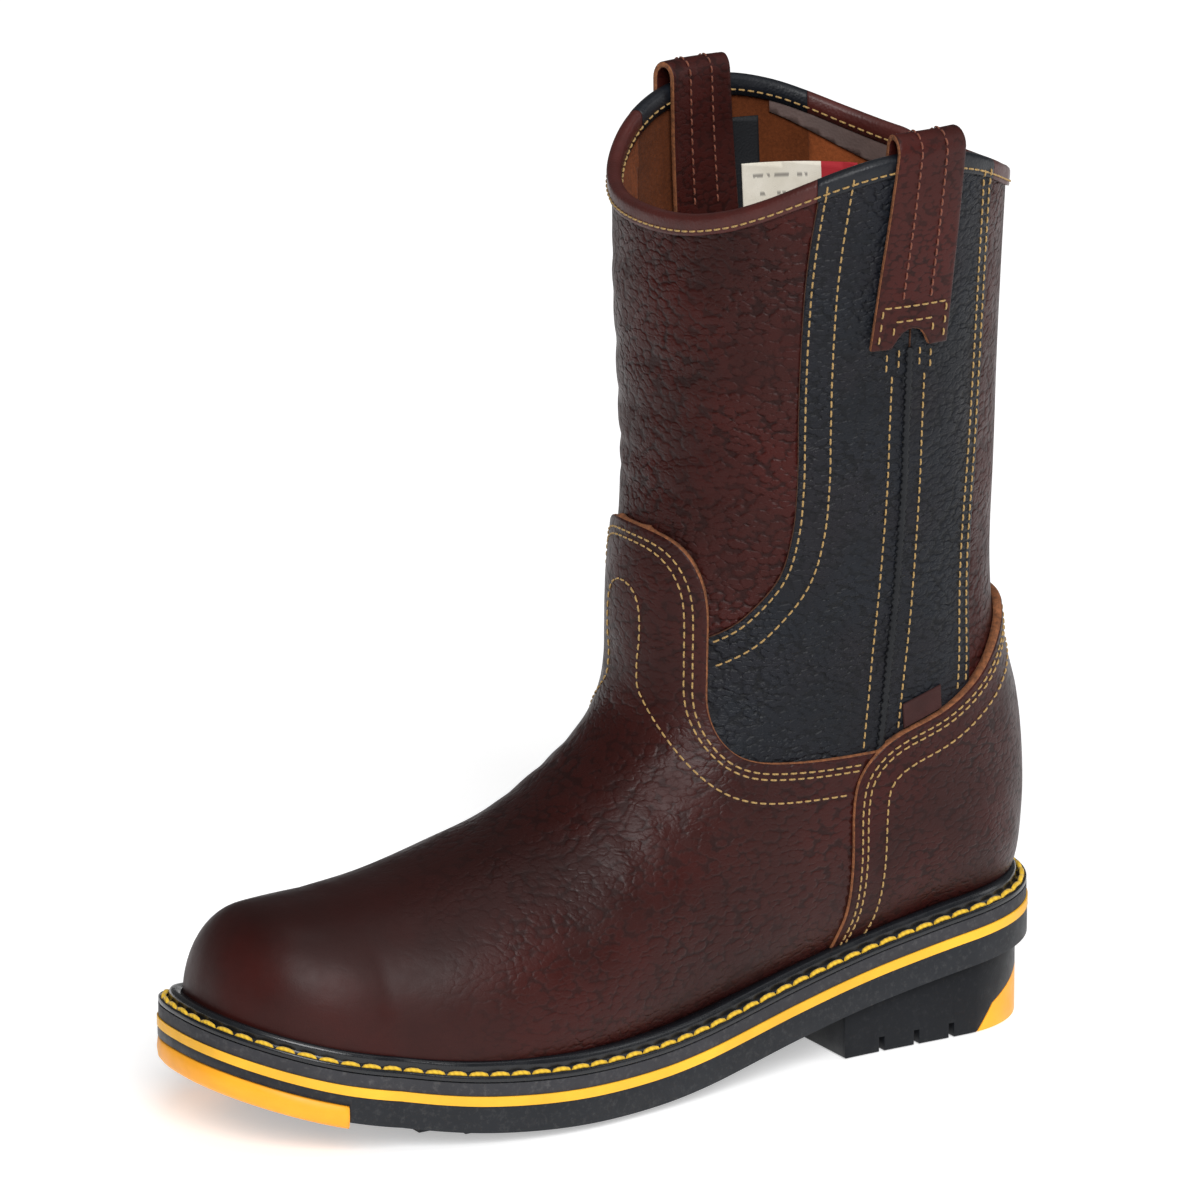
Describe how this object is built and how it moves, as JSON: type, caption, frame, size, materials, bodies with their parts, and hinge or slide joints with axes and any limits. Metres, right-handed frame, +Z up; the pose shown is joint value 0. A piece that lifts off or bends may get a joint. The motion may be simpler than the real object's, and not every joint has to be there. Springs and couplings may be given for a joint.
{
  "type": "steel toe pull-on work boot",
  "caption": "Left pull-on work boot with a steel toe, brown pebbled leather, black side panels, pull straps and a welted rubber sole.",
  "frame": {"origin": "middle of the boot's footprint box on the floor", "axes": "+Z up, the toe points along -Y, +X is the wearer's left, the outer side of this left boot"},
  "size_m": [0.1398, 0.318, 0.3233],
  "materials": {
    "brown_leather": "satin",
    "black_leather": "satin",
    "strap_leather": "satin",
    "suede_lining": "matte",
    "facing_leather": "satin",
    "label_cloth": "matte",
    "tag_cloth": "matte",
    "black_rubber": "satin",
    "midsole_rubber": "matte",
    "yellow_rubber": "satin",
    "amber_rubber": "satin",
    "yellow_thread": "matte",
    "steel": "satin",
    "fibreboard": "matte",
    "cork": "matte",
    "foam": "matte"
  },
  "bodies": {
    "boot": {"shaft_front": "brown_leather", "shaft_back": "brown_leather", "vamp": "brown_leather", "counter": "brown_leather", "vamp_lining": "suede_lining", "heel_lining": "suede_lining", "steel_toe_cap": "steel", "toe_cap_edge_strip": "foam", "heel_stiffener": "fibreboard", "collar_binding_front": "brown_leather", "collar_binding_back": "brown_leather", "collar_binding_outer": "black_leather", "collar_binding_inner": "black_leather", "pull_strap_outer": "strap_leather", "pull_strap_inner": "strap_leather", "side_piping_outer": "black_leather", "side_piping_inner": "black_leather", "side_seam_tape_outer": "black_leather", "side_seam_tape_inner": "black_leather", "backstay": "black_leather", "collar_facing_back": "facing_leather", "side_tag": "tag_cloth", "size_label": "label_cloth", "cork_filler": "cork", "steel_shank": "steel", "insole_board": "fibreboard", "welt": "black_rubber", "welt_thread": "yellow_thread", "midsole_upper": "midsole_rubber", "midsole_stripe": "yellow_rubber", "outsole": "black_rubber", "toe_bumper": "amber_rubber", "heel_block": "black_rubber", "heel_insert": "amber_rubber", "side_panel_outer_front": "black_leather", "side_panel_outer_rear": "black_leather", "side_panel_inner_front": "black_leather", "side_panel_inner_rear": "black_leather", "heel_nail_1": "steel", "heel_nail_2": "steel", "heel_nail_3": "steel", "heel_nail_4": "steel"},
    "footbed": {"footbed": "foam"}
  },
  "joints": [
    {"name": "footbed_lift", "type": "slide", "parent": "boot", "child": "footbed", "axis": [0, 0, 1], "range_m": [0, 0.006]}
  ]
}
